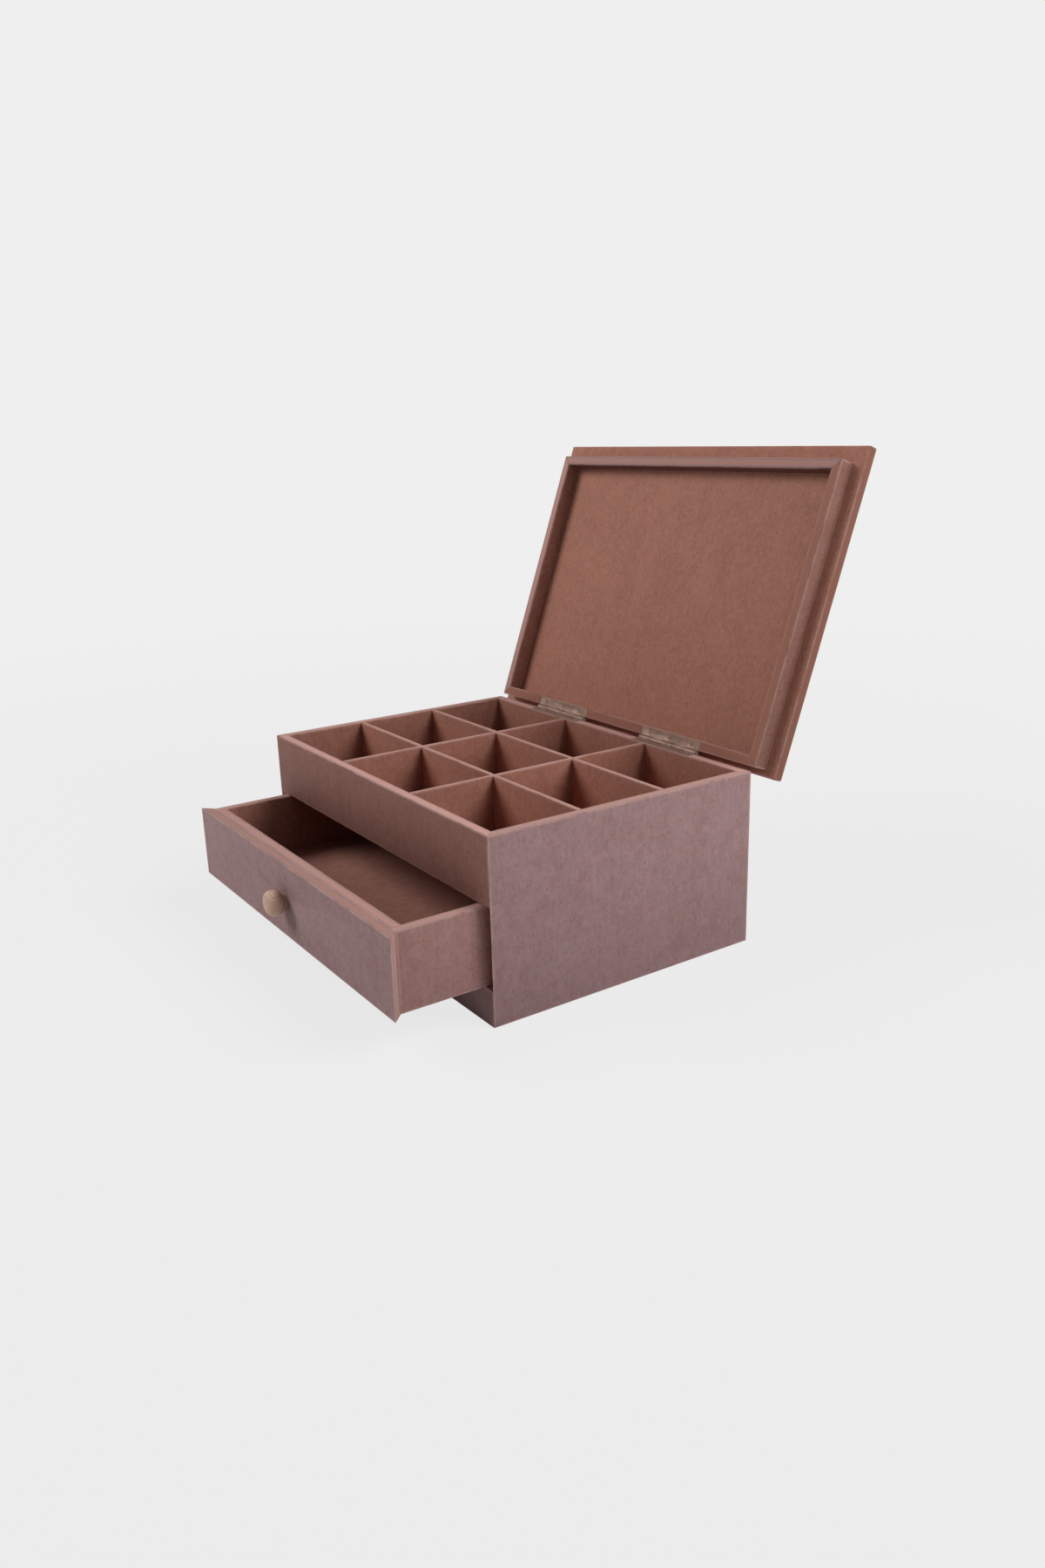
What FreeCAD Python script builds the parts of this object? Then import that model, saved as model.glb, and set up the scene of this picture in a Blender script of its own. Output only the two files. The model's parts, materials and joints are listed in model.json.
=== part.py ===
import FreeCAD, Part
import math
import os

# Raw fibreboard makeup box: open compartments above, one drawer below, hinged lid.
# Millimetres, Z up, X along the front, the front faces -Y.
# The origin is the middle of the case's lower front edge, on the table.

V = FreeCAD.Vector
os.makedirs("parts", exist_ok=True)

# Overall sizes of the case
case_width = 250.0
case_depth = 172.0
case_height = 101.0

# Board thicknesses
board = 6.0
sheet = 3.0

# Front of the case, from the top down
upper_panel_height = 37.0
base_rail_height = 20.0

# Joinery
groove_depth = 2.0
groove_play = 0.1
rabbet_depth = 3.0

# Grid of the nine compartments
rooms_across = 3
rooms_deep = 3
lap_play = 0.1

# Drawer
drawer_pull = 54.0
drawer_side_play = 0.6
drawer_top_play = 0.8
drawer_bottom_play = 0.2
drawer_rear_gap = 3.0
drawer_rim_drop = 0.2
drawer_floor_lift = 3.0

# Knob and its screw
knob_head_diameter = 14.5
knob_head_thickness = 8.0
knob_neck_diameter = 6.6
knob_foot_diameter = 8.4
knob_foot_thickness = 1.0
knob_length = 11.5
knob_tip_flat = 2.6
knob_screw_radius = 1.5
knob_screw_bite = 7.5
knob_screw_head_radius = 3.1
knob_screw_head_height = 2.0
knob_screw_head_round = 1.2
knob_hole_play = 0.1

# Knob outline, as shares of the head's radius and of its thickness
knob_widest_share = 0.47
knob_throat_flare = 1.15
knob_shoulder_share = 0.88
knob_shoulder_back_share = 0.56
knob_brow_share = 0.8
knob_brow_out_share = 0.6

# Lid
lid_rail_height = 9.5
lid_plate_thickness = 6.0
lid_side_overhang = 8.0
lid_front_overhang = 10.0
lid_rear_overhang = 4.0
lid_rim_gap = 0.3
lid_open_angle = 110.0
lid_edge_bevel = 0.6

# Hinges
hinge_length = 51.0
hinge_offset_x = 54.0
hinge_knuckles = 5
knuckle_radius = 1.5
knuckle_clearance = 0.3
knuckle_end_gap = 0.2
pin_radius = 0.8
pin_running_play = 0.05
pin_overhang = 0.6
pin_chamfer = 0.25
leaf_thickness = 0.9
leaf_width = 5.2
leaf_web_overlap = 0.5
stop_length = 2.0
stop_slack_deg = 0.5
hinge_screw_radius = 0.8
hinge_screw_head_radius = 1.5
hinge_screw_length = 6.5
hinge_screw_margin = 7.0

# How far a cutter runs past the face it opens
cut_past = 1.0

# Derived places
half_w = case_width / 2.0
y_front = 0.0
y_back = case_depth
opening_top = case_height - upper_panel_height
slide_top = base_rail_height
slide_z0 = slide_top - sheet
tray_top = opening_top + sheet
inner_half_w = half_w - board
inner_front = y_front + board
inner_back = y_back - board
tongue_reach = board - groove_depth + groove_play


def block(x0, x1, y0, y1, z0, z1):
    return Part.makeBox(x1 - x0, y1 - y0, z1 - z0, V(x0, y0, z0))


def plan_prism(points, z0, z1):
    # points are (x, y) in plan, pushed up from z0 to z1
    wire = Part.makePolygon([V(x, y, z0) for x, y in points + points[:1]])
    return Part.Face(wire).extrude(V(0, 0, z1 - z0))


def rod_x(x0, x1, y, z, radius):
    return Part.makeCylinder(radius, x1 - x0, V(x0, y, z), V(1, 0, 0))


def mirrored(shape):
    return shape.mirror(V(0, 0, 0), V(1, 0, 0))


def export(name, shape):
    shape.exportStep("parts/" + name + ".step")


# The case

def side_panel():
    # Right-hand side; both upright ends are cut at 45 degrees for the mitred corners.
    # The front bevel also receives the bevelled end of the drawer front.
    panel = plan_prism(
        [
            (half_w, y_front),
            (half_w, y_back),
            (inner_half_w, inner_back),
            (inner_half_w, inner_front),
        ],
        0.0,
        case_height,
    )
    for z0 in (slide_z0, opening_top):
        groove = block(
            inner_half_w,
            inner_half_w + groove_depth,
            y_front,
            y_back,
            z0,
            z0 + sheet + groove_play,
        )
        panel = panel.cut(groove)
    return panel


def mitred_front_board(z0, z1, play):
    # A board across the front whose two ends are bevelled at 45 degrees.
    return plan_prism(
        [
            (-(half_w - play), y_front),
            (half_w - play, y_front),
            (inner_half_w - play, inner_front),
            (-(inner_half_w - play), inner_front),
        ],
        z0,
        z1,
    )


def front_rabbet(z0, z1):
    # Step along the inner face of a front board that takes the edge of a sheet.
    return block(
        -half_w,
        half_w,
        y_front + rabbet_depth,
        inner_front,
        z0,
        z1,
    )


def upper_front_panel():
    panel = mitred_front_board(opening_top, case_height, 0.0)
    return panel.cut(front_rabbet(opening_top, tray_top + groove_play))


def base_front_rail():
    rail = mitred_front_board(0.0, base_rail_height, 0.0)
    return rail.cut(front_rabbet(slide_z0, base_rail_height))


def back_panel():
    panel = plan_prism(
        [
            (-half_w, y_back),
            (-inner_half_w, inner_back),
            (inner_half_w, inner_back),
            (half_w, y_back),
        ],
        0.0,
        case_height,
    )
    for z0 in (slide_z0, opening_top):
        groove = block(
            -half_w,
            half_w,
            inner_back,
            inner_back + groove_depth,
            z0,
            z0 + sheet + groove_play,
        )
        panel = panel.cut(groove)
    for centre in hinge_centres():
        panel = panel.cut(leaf_seat(centre, case_height - leaf_thickness, case_height))
        for x in hinge_screw_places(centre):
            panel = panel.cut(screw_hole(x, case_height, -1.0))
    return panel


def floor_sheet(z0):
    # Thin sheet held in the grooves of the sides and back and in a front rabbet.
    outline = [
        (-(half_w - rabbet_depth), y_front + rabbet_depth),
        (half_w - rabbet_depth, y_front + rabbet_depth),
        (half_w - tongue_reach, y_front + tongue_reach),
        (half_w - tongue_reach, y_back - tongue_reach),
        (-(half_w - tongue_reach), y_back - tongue_reach),
        (-(half_w - tongue_reach), y_front + tongue_reach),
    ]
    return plan_prism(outline, z0, z0 + sheet)


# The compartment grid, half-lapped like an egg crate

def even_places(start, end, rooms):
    # Middles of the thin dividers that part a span into equal rooms.
    dividers = rooms - 1
    room = (end - start - dividers * sheet) / rooms
    return [start + (k + 1) * room + (k + 0.5) * sheet for k in range(dividers)]


def cross_divider_xs():
    return even_places(-inner_half_w, inner_half_w, rooms_across)


def long_divider_ys():
    return even_places(inner_front, inner_back, rooms_deep)


def lap_height():
    return (tray_top + case_height) / 2.0


def cross_divider(x):
    # Runs from front to back; its slots open downward.
    plate = block(
        x - sheet / 2.0,
        x + sheet / 2.0,
        inner_front,
        inner_back,
        tray_top,
        case_height,
    )
    for y in long_divider_ys():
        slot = block(
            x - sheet,
            x + sheet,
            y - sheet / 2.0 - lap_play / 2.0,
            y + sheet / 2.0 + lap_play / 2.0,
            tray_top,
            lap_height(),
        )
        plate = plate.cut(slot)
    return plate


def long_divider(y):
    # Runs from side to side; its slots open upward.
    plate = block(
        -inner_half_w,
        inner_half_w,
        y - sheet / 2.0,
        y + sheet / 2.0,
        tray_top,
        case_height,
    )
    for x in cross_divider_xs():
        slot = block(
            x - sheet / 2.0 - lap_play / 2.0,
            x + sheet / 2.0 + lap_play / 2.0,
            y - sheet,
            y + sheet,
            lap_height(),
            case_height,
        )
        plate = plate.cut(slot)
    return plate


# Hinges

pin_y = y_back + knuckle_radius + knuckle_clearance
pin_z = case_height + lid_rim_gap / 2.0


def hinge_centres():
    return [-hinge_offset_x, hinge_offset_x]


def hinge_screw_places(centre):
    reach = hinge_length / 2.0 - hinge_screw_margin
    return [centre - reach, centre, centre + reach]


def hinge_screw_y():
    return y_back - leaf_width / 2.0


def leaf_seat(centre, z0, z1):
    # Shallow recess that lets a leaf lie flush with the edge of the wood.
    return block(
        centre - hinge_length / 2.0,
        centre + hinge_length / 2.0,
        y_back - leaf_width,
        y_back + cut_past,
        z0,
        z1,
    )


def screw_hole(x, z_face, sign):
    # Hole for a hinge screw that enters at z_face and runs up (+1) or down (-1).
    start = V(x, hinge_screw_y(), z_face)
    return Part.makeCylinder(
        hinge_screw_radius, hinge_screw_length, start, V(0, 0, sign)
    )


def hinge_screw(x, z_face, sign):
    # Countersunk screw whose head ends flush with the leaf.
    axis = V(0, 0, sign)
    start = V(x, hinge_screw_y(), z_face)
    shank = Part.makeCylinder(hinge_screw_radius, hinge_screw_length, start, axis)
    depth = hinge_screw_head_radius - hinge_screw_radius
    head = Part.makeCone(hinge_screw_head_radius, hinge_screw_radius, depth, start, axis)
    return shank.fuse(head).removeSplitter()


def knuckle_edges(centre):
    pitch = hinge_length / hinge_knuckles
    start = centre - hinge_length / 2.0
    return [start + pitch * k for k in range(hinge_knuckles + 1)]


def stop_zone(centre):
    # The stop sits between the second and the third knuckle.
    edge = knuckle_edges(centre)[2]
    return edge - stop_length / 2.0, edge + stop_length / 2.0


def knuckle_spans(centre, owner):
    # Spans of the barrel that belong to the case leaf (0) or the lid leaf (1).
    edges = knuckle_edges(centre)
    z0, z1 = stop_zone(centre)
    gap = knuckle_end_gap / 2.0
    spans = []
    for k in range(hinge_knuckles):
        if k % 2 != owner:
            continue
        x0 = edges[k] + (gap if k > 0 else 0.0)
        x1 = edges[k + 1] - (gap if k < hinge_knuckles - 1 else 0.0)
        if k == 1:
            x1 = z0 - gap
        if k == 2:
            x0 = z1 + gap
        spans.append((x0, x1))
    return spans


def barrel_sector(x0, x1, bore, start_deg, sweep_deg):
    # Part of a ring; the angle runs from +Y towards +Z.
    centre = V(x0, pin_y, pin_z)
    a0 = math.radians(start_deg)
    inner = V(x0, pin_y + bore * math.cos(a0), pin_z + bore * math.sin(a0))
    outer = V(
        x0,
        pin_y + knuckle_radius * math.cos(a0),
        pin_z + knuckle_radius * math.sin(a0),
    )
    tall = x1 - x0
    flat = Part.makePolygon(
        [inner, outer, outer + V(tall, 0, 0), inner + V(tall, 0, 0), inner]
    )
    return Part.Face(flat).revolve(centre, V(1, 0, 0), sweep_deg)


def stop_sweep():
    # Two equal teeth share the turn that is left beside the lid's travel.
    return (360.0 - lid_open_angle - 2.0 * stop_slack_deg) / 2.0


def hinge_leaf(centre, owner):
    # Both leaves are drawn with the lid closed; the lid's one is swung open later.
    if owner == 0:
        z0, z1, sign, face = case_height - leaf_thickness, case_height, -1.0, case_height
    else:
        z0 = case_height + lid_rim_gap
        z1 = z0 + leaf_thickness
        sign, face = 1.0, z0
    leaf = block(
        centre - hinge_length / 2.0,
        centre + hinge_length / 2.0,
        y_back - leaf_width,
        pin_y,
        z0,
        z1,
    )
    bore = pin_radius if owner == 0 else pin_radius + pin_running_play
    free = knuckle_radius + knuckle_clearance
    own_spans = knuckle_spans(centre, owner)
    x_start = centre - hinge_length / 2.0
    x_end = centre + hinge_length / 2.0
    # clear the whole barrel from the leaf, then add its own knuckles with their webs
    web = leaf
    leaf = leaf.cut(rod_x(x_start - cut_past, x_end + cut_past, pin_y, pin_z, free))
    for x0, x1 in own_spans:
        piece = web.common(block(x0, x1, y_back - leaf_web_overlap, pin_y, z0, z1))
        leaf = leaf.fuse(piece).fuse(rod_x(x0, x1, pin_y, pin_z, knuckle_radius))
    leaf = leaf.cut(rod_x(x_start - cut_past, x_end + cut_past, pin_y, pin_z, bore))
    # the tooth of the stop, joined to the end of the neighbouring knuckle
    s0, s1 = stop_zone(centre)
    gap = knuckle_end_gap / 2.0
    sweep = stop_sweep()
    tooth_face = 90.0
    if owner == 0:
        tooth = barrel_sector(s0 + gap, s1 + gap, bore, tooth_face - sweep, sweep)
    else:
        first = tooth_face + stop_slack_deg + lid_open_angle
        tooth = barrel_sector(s0 - gap, s1 - gap, bore, first, sweep)
    leaf = leaf.fuse(tooth)
    for x in hinge_screw_places(centre):
        leaf = leaf.cut(hinge_screw(x, face, sign))
    return leaf.removeSplitter()


def hinge_pin(centre):
    x0 = centre - hinge_length / 2.0 - pin_overhang
    x1 = centre + hinge_length / 2.0 + pin_overhang
    pin = rod_x(x0, x1, pin_y, pin_z, pin_radius)
    ends = [edge for edge in pin.Edges if edge.Closed]
    return pin.makeChamfer(pin_chamfer, ends)


# The lid, drawn closed and then swung open

lid_z0 = case_height + lid_rim_gap
lid_z1 = lid_z0 + lid_rail_height
lid_z2 = lid_z1 + lid_plate_thickness


def swung(shape):
    turned = shape.copy()
    turned.rotate(V(0, pin_y, pin_z), V(1, 0, 0), -lid_open_angle)
    return turned


def lid_side_rail():
    return plan_prism(
        [
            (half_w, y_front),
            (half_w, y_back),
            (inner_half_w, inner_back),
            (inner_half_w, inner_front),
        ],
        lid_z0,
        lid_z1,
    )


def lid_front_rail():
    return mitred_front_board(lid_z0, lid_z1, 0.0)


def lid_rear_rail():
    rail = plan_prism(
        [
            (-half_w, y_back),
            (-inner_half_w, inner_back),
            (inner_half_w, inner_back),
            (half_w, y_back),
        ],
        lid_z0,
        lid_z1,
    )
    for centre in hinge_centres():
        rail = rail.cut(leaf_seat(centre, lid_z0, lid_z0 + leaf_thickness))
        for x in hinge_screw_places(centre):
            rail = rail.cut(screw_hole(x, lid_z0, 1.0))
    return rail


def lid_plate():
    plate = block(
        -(half_w + lid_side_overhang),
        half_w + lid_side_overhang,
        y_front - lid_front_overhang,
        y_back + lid_rear_overhang,
        lid_z1,
        lid_z2,
    )
    # every arris is eased with sandpaper
    return plate.makeChamfer(lid_edge_bevel, plate.Edges)


# The drawer, drawn pulled out as photographed

drawer_z0 = slide_top + drawer_bottom_play
drawer_front_z1 = opening_top - drawer_top_play
drawer_rim_z = drawer_front_z1 - drawer_rim_drop
drawer_half_w = inner_half_w - drawer_side_play
drawer_rear_y = inner_back - drawer_rear_gap
drawer_floor_z0 = drawer_z0 + drawer_floor_lift
drawer_floor_z1 = drawer_floor_z0 + sheet
drawer_inner_half_w = drawer_half_w - board
drawer_box_y0 = inner_front
drawer_room_y0 = drawer_box_y0 + board
drawer_room_y1 = drawer_rear_y - board
knob_z = (drawer_z0 + drawer_front_z1) / 2.0


def pulled(shape):
    moved = shape.copy()
    moved.translate(V(0, -drawer_pull, 0))
    return moved


def knob_screw_hole():
    y0 = y_front - cut_past
    y1 = drawer_room_y0 + cut_past
    radius = knob_screw_radius + knob_hole_play
    return Part.makeCylinder(radius, y1 - y0, V(0, y0, knob_z), V(0, 1, 0))


def drawer_front_board():
    return mitred_front_board(drawer_z0, drawer_front_z1, drawer_side_play).cut(
        knob_screw_hole()
    )


def drawer_side():
    side = block(
        drawer_inner_half_w,
        drawer_half_w,
        drawer_box_y0,
        drawer_rear_y,
        drawer_z0,
        drawer_rim_z,
    )
    groove = block(
        drawer_inner_half_w,
        drawer_inner_half_w + groove_depth,
        drawer_box_y0 + board - groove_depth,
        drawer_rear_y - board + groove_depth,
        drawer_floor_z0,
        drawer_floor_z1 + groove_play,
    )
    return side.cut(groove)


def drawer_inner_front():
    wall = block(
        -drawer_inner_half_w,
        drawer_inner_half_w,
        drawer_box_y0,
        drawer_room_y0,
        drawer_z0,
        drawer_rim_z,
    )
    groove = block(
        -drawer_inner_half_w,
        drawer_inner_half_w,
        drawer_room_y0 - groove_depth,
        drawer_room_y0,
        drawer_floor_z0,
        drawer_floor_z1 + groove_play,
    )
    return wall.cut(groove).cut(knob_screw_hole())


def drawer_back():
    wall = block(
        -drawer_inner_half_w,
        drawer_inner_half_w,
        drawer_room_y1,
        drawer_rear_y,
        drawer_z0,
        drawer_rim_z,
    )
    groove = block(
        -drawer_inner_half_w,
        drawer_inner_half_w,
        drawer_room_y1,
        drawer_room_y1 + groove_depth,
        drawer_floor_z0,
        drawer_floor_z1 + groove_play,
    )
    return wall.cut(groove)


def drawer_bottom():
    reach = groove_depth - groove_play
    return block(
        -(drawer_inner_half_w + reach),
        drawer_inner_half_w + reach,
        drawer_room_y0 - reach,
        drawer_room_y1 + reach,
        drawer_floor_z0,
        drawer_floor_z1,
    )


def drawer_knob():
    # Turned knob: a foot, a waisted neck and a full round head, axis along Y.
    foot_r = knob_foot_diameter / 2.0
    neck_r = knob_neck_diameter / 2.0
    head_r = knob_head_diameter / 2.0
    head_start = knob_length - knob_head_thickness
    widest = head_start + knob_head_thickness * knob_widest_share
    throat_r = neck_r * knob_throat_flare

    def at(radius, depth):
        # depth is counted from the drawer's face towards the hand
        return V(radius, y_front - depth, knob_z)

    foot_edge = at(foot_r, knob_foot_thickness)
    waist = at(neck_r, (knob_foot_thickness + head_start) / 2.0)
    throat = at(throat_r, head_start)
    shoulder_depth = widest - (widest - head_start) * knob_shoulder_back_share
    shoulder = at(head_r * knob_shoulder_share, shoulder_depth)
    rim = at(head_r, widest)
    brow_depth = widest + (knob_length - widest) * knob_brow_out_share
    brow = at(head_r * knob_brow_share, brow_depth)
    tip_edge = at(knob_tip_flat / 2.0, knob_length)
    lines = []
    lines.append(Part.makeLine(at(0.0, 0.0), at(foot_r, 0.0)))
    lines.append(Part.makeLine(at(foot_r, 0.0), foot_edge))
    lines.append(Part.Arc(foot_edge, waist, throat).toShape())
    lines.append(Part.Arc(throat, shoulder, rim).toShape())
    lines.append(Part.Arc(rim, brow, tip_edge).toShape())
    lines.append(Part.makeLine(tip_edge, at(0.0, knob_length)))
    lines.append(Part.makeLine(at(0.0, knob_length), at(0.0, 0.0)))
    profile = Part.Face(Part.Wire(lines))
    knob = profile.revolve(at(0.0, 0.0), V(0, 1, 0), 360.0)
    hole = Part.makeCylinder(
        knob_screw_radius, knob_screw_bite + cut_past, at(0.0, -cut_past), V(0, -1, 0)
    )
    return knob.cut(hole)


def knob_screw():
    # Round-headed screw driven from inside the drawer.
    y_head = drawer_room_y0
    tip = y_front - knob_screw_bite
    shank = Part.makeCylinder(
        knob_screw_radius, y_head - tip, V(0, tip, knob_z), V(0, 1, 0)
    )
    head = Part.makeCylinder(
        knob_screw_head_radius, knob_screw_head_height, V(0, y_head, knob_z), V(0, 1, 0)
    )
    half_head = knob_screw_head_height / 2.0
    rim = [e for e in head.Edges if e.Closed and e.CenterOfMass.y - y_head > half_head]
    head = head.makeFillet(knob_screw_head_round, rim)
    return shank.fuse(head).removeSplitter()


# Everything out, one file for each piece

def build_case():
    right = side_panel()
    export("case_side_right", right)
    export("case_side_left", mirrored(right))
    export("case_back_panel", back_panel())
    export("case_front_upper_panel", upper_front_panel())
    export("case_base_front_rail", base_front_rail())
    # the lower sheet carries the drawer, the upper one is the floor of the compartments
    export("case_bottom_panel", floor_sheet(slide_z0))
    export("compartment_floor", floor_sheet(opening_top))
    for x, name in zip(cross_divider_xs(), ("left", "right")):
        export("divider_cross_" + name, cross_divider(x))
    for y, name in zip(long_divider_ys(), ("front", "rear")):
        export("divider_long_" + name, long_divider(y))


def build_lid():
    right = lid_side_rail()
    export("lid_rail_right", swung(right))
    export("lid_rail_left", swung(mirrored(right)))
    export("lid_rail_front", swung(lid_front_rail()))
    export("lid_rail_rear", swung(lid_rear_rail()))
    export("lid_plate", swung(lid_plate()))


def build_hinges():
    case_screws = []
    lid_screws = []
    for centre, name in zip(hinge_centres(), ("left", "right")):
        export("hinge_case_leaf_" + name, hinge_leaf(centre, 0))
        export("hinge_lid_leaf_" + name, swung(hinge_leaf(centre, 1)))
        export("hinge_pin_" + name, hinge_pin(centre))
        for x in hinge_screw_places(centre):
            case_screws.append(hinge_screw(x, case_height, -1.0))
            lid_screws.append(hinge_screw(x, lid_z0, 1.0))
    export("hinge_screws_case", Part.makeCompound(case_screws))
    export("hinge_screws_lid", swung(Part.makeCompound(lid_screws)))


def build_drawer():
    right = drawer_side()
    export("drawer_side_right", pulled(right))
    export("drawer_side_left", pulled(mirrored(right)))
    export("drawer_front_board", pulled(drawer_front_board()))
    export("drawer_inner_front", pulled(drawer_inner_front()))
    export("drawer_back", pulled(drawer_back()))
    export("drawer_bottom", pulled(drawer_bottom()))
    export("drawer_knob", pulled(drawer_knob()))
    export("drawer_knob_screw", pulled(knob_screw()))


build_case()
build_lid()
build_hinges()
build_drawer()
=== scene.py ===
import json
import math

import bmesh
import bpy
from mathutils import Matrix, Vector


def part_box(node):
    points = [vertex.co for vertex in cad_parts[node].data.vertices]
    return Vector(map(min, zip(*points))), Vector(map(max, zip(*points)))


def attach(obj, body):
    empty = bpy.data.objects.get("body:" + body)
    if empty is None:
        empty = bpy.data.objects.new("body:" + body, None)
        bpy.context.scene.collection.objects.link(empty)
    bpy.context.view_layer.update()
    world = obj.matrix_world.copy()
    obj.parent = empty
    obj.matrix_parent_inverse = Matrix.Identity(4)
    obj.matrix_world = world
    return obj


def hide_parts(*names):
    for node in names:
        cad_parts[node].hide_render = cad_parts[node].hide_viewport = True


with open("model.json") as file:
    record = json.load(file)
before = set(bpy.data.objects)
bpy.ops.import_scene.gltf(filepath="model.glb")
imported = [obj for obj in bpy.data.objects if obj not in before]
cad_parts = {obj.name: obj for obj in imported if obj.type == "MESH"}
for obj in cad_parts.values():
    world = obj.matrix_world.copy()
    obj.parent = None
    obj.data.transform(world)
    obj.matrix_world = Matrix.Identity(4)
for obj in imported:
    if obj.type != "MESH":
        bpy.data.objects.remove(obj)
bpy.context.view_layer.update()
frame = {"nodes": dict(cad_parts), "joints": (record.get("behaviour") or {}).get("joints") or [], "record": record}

bl_info = {
    "name": "Fibreboard makeup box",
    "version": (1, 0, 0),
    "blender": (4, 5, 0),
    "location": "3D View > Sidebar > Makeup box",
    "description": "Finishes a raw fibreboard makeup box with compartments, lid and drawer",
    "category": "Object",
}

MM = 0.001

# Places that come from the frame
HINGE = next(j for j in frame["joints"] if j["name"] == "lid_hinge")
LID_PIVOT = Vector(HINGE["pos_m"])
LID_TURN = math.radians(HINGE["range_deg"][1])

# Middle of the case and the drawer, which tells a board's outer face from its inner one
BOX_MIDDLE = Vector((0.0, 0.06, 0.06))

# How the frame's triangles are joined: points this close are one, and faces that meet
# within FLAT_ANGLE degrees are one flat. Arrises that turn by more than ARRIS_ANGLE are
# eased, and edges that turn by more than a crease stay sharp in the shading.
WELD_GAP = 0.002 * MM
FLAT_ANGLE = 0.6
ARRIS_ANGLE = 28.0
BOARD_CREASE = 50.0
SMALL_CREASE = 35.0
LEAF_ARRIS = 0.12 * MM

# Depth at which the pressed skin gives way to the sawn core, and how far from an arris
# the rubbing starts to fade, ends and wanders
SKIN_FROM = 0.35 * MM
SKIN_TO = 0.6 * MM
RUB_FROM = 0.15 * MM
RUB_TO = 1.5 * MM
RUB_WANDER = 1.6 * MM
# How far a board's seed shifts its patterns along each axis, and how much each letter
# of its name adds to that seed
PATTERN_STEPS = (3.1, 1.7, 2.3)
SEED_STEP = 7.0

# Outline of the knob beyond its box: a foot, a waist and a full round head
KNOB_FOOT_RADIUS = 4.2 * MM
KNOB_FOOT_THICKNESS = 1.0 * MM
KNOB_FOOT_EASE = 0.97
KNOB_FOOT_RIM = (0.1, 0.85)
KNOB_WAIST_RADIUS = 3.3 * MM
KNOB_THROAT_RADIUS = 3.8 * MM
KNOB_HEAD_THICKNESS = 9.2 * MM
KNOB_WIDEST_SHARE = 0.47
KNOB_BACK_FULLNESS = 2.5
KNOB_FACE_FULLNESS = 2.7
KNOB_WAIST_STEPS = 10
KNOB_BACK_STEPS = 16
KNOB_FACE_STEPS = 24
# Its growth rings and lathe marks in radians for each metre, and how far the rings lean
# and wander
KNOB_RING_RATE = 4300.0
KNOB_LATHE_RATE = 9000.0
KNOB_RING_LEAN = 0.35
KNOB_RING_WANDER = 1.6 * MM
# Where the grime and painted shade towards the foot begin and where they are full, along Y from the knob's middle
KNOB_GRIME_AND_SHADE_FROM = -2.5 * MM
KNOB_GRIME_AND_SHADE_TO = 4.0 * MM

# Hinge screws, measured down from the face of the head. The tip is given from its end
# as shares of the shank's radius and of the length.
SCREW_HEAD_RADIUS = 1.5 * MM
SCREW_SHANK_RADIUS = 0.8 * MM
SCREW_LENGTH = 6.5 * MM
SCREW_TIP = ((0.25, 1.0), (0.9, 0.8), (1.0, 0.7))
SCREW_EASE = 0.06 * MM
SCREW_RIM_EASE = 1.6 * SCREW_EASE

# Cross recess in a screw's head, and its rings as shares of its width and depth
CROSS_HALF_WIDTH = 0.2 * MM
CROSS_ARM = 0.85 * MM
CROSS_RINGS = ((1.0, 0.0), (0.98, 0.15), (0.72, 1.0))

# Round-headed screw behind the knob
KNOB_SCREW_RADIUS = 1.5 * MM
KNOB_SCREW_TIP_RADIUS = 0.75 * MM
KNOB_SCREW_HEAD_RADIUS = 3.05 * MM
KNOB_SCREW_HEAD_HEIGHT = 2.0 * MM
KNOB_SCREW_SEAT_EASE = 0.98
KNOB_SCREW_SEAT = 0.02 * MM
KNOB_SCREW_BRIM = 0.5 * MM
KNOB_SCREW_FLAT_RADIUS = 1.9 * MM
KNOB_SCREW_DOME_STEPS = 6
KNOB_CROSS_SCALE = 1.9
KNOB_CROSS_DEPTH_SCALE = 2.0

# Which way each board is thin: 0 along X, 1 along Y, 2 along Z (lid boards as if shut)
CASE_BOARDS = {
    "case_side_left": 0,
    "case_side_right": 0,
    "case_back_panel": 1,
    "case_front_upper_panel": 1,
    "case_base_front_rail": 1,
    "case_bottom_panel": 2,
    "compartment_floor": 2,
}
DIVIDER_BOARDS = {
    "divider_cross_left": 0,
    "divider_cross_right": 0,
    "divider_long_front": 1,
    "divider_long_rear": 1,
}
LID_BOARDS = {
    "lid_plate": 2,
    "lid_rail_front": 1,
    "lid_rail_rear": 1,
    "lid_rail_left": 0,
    "lid_rail_right": 0,
}
DRAWER_BOARDS = {
    "drawer_front_board": 1,
    "drawer_inner_front": 1,
    "drawer_back": 1,
    "drawer_side_left": 0,
    "drawer_side_right": 0,
    "drawer_bottom": 2,
}
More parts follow.
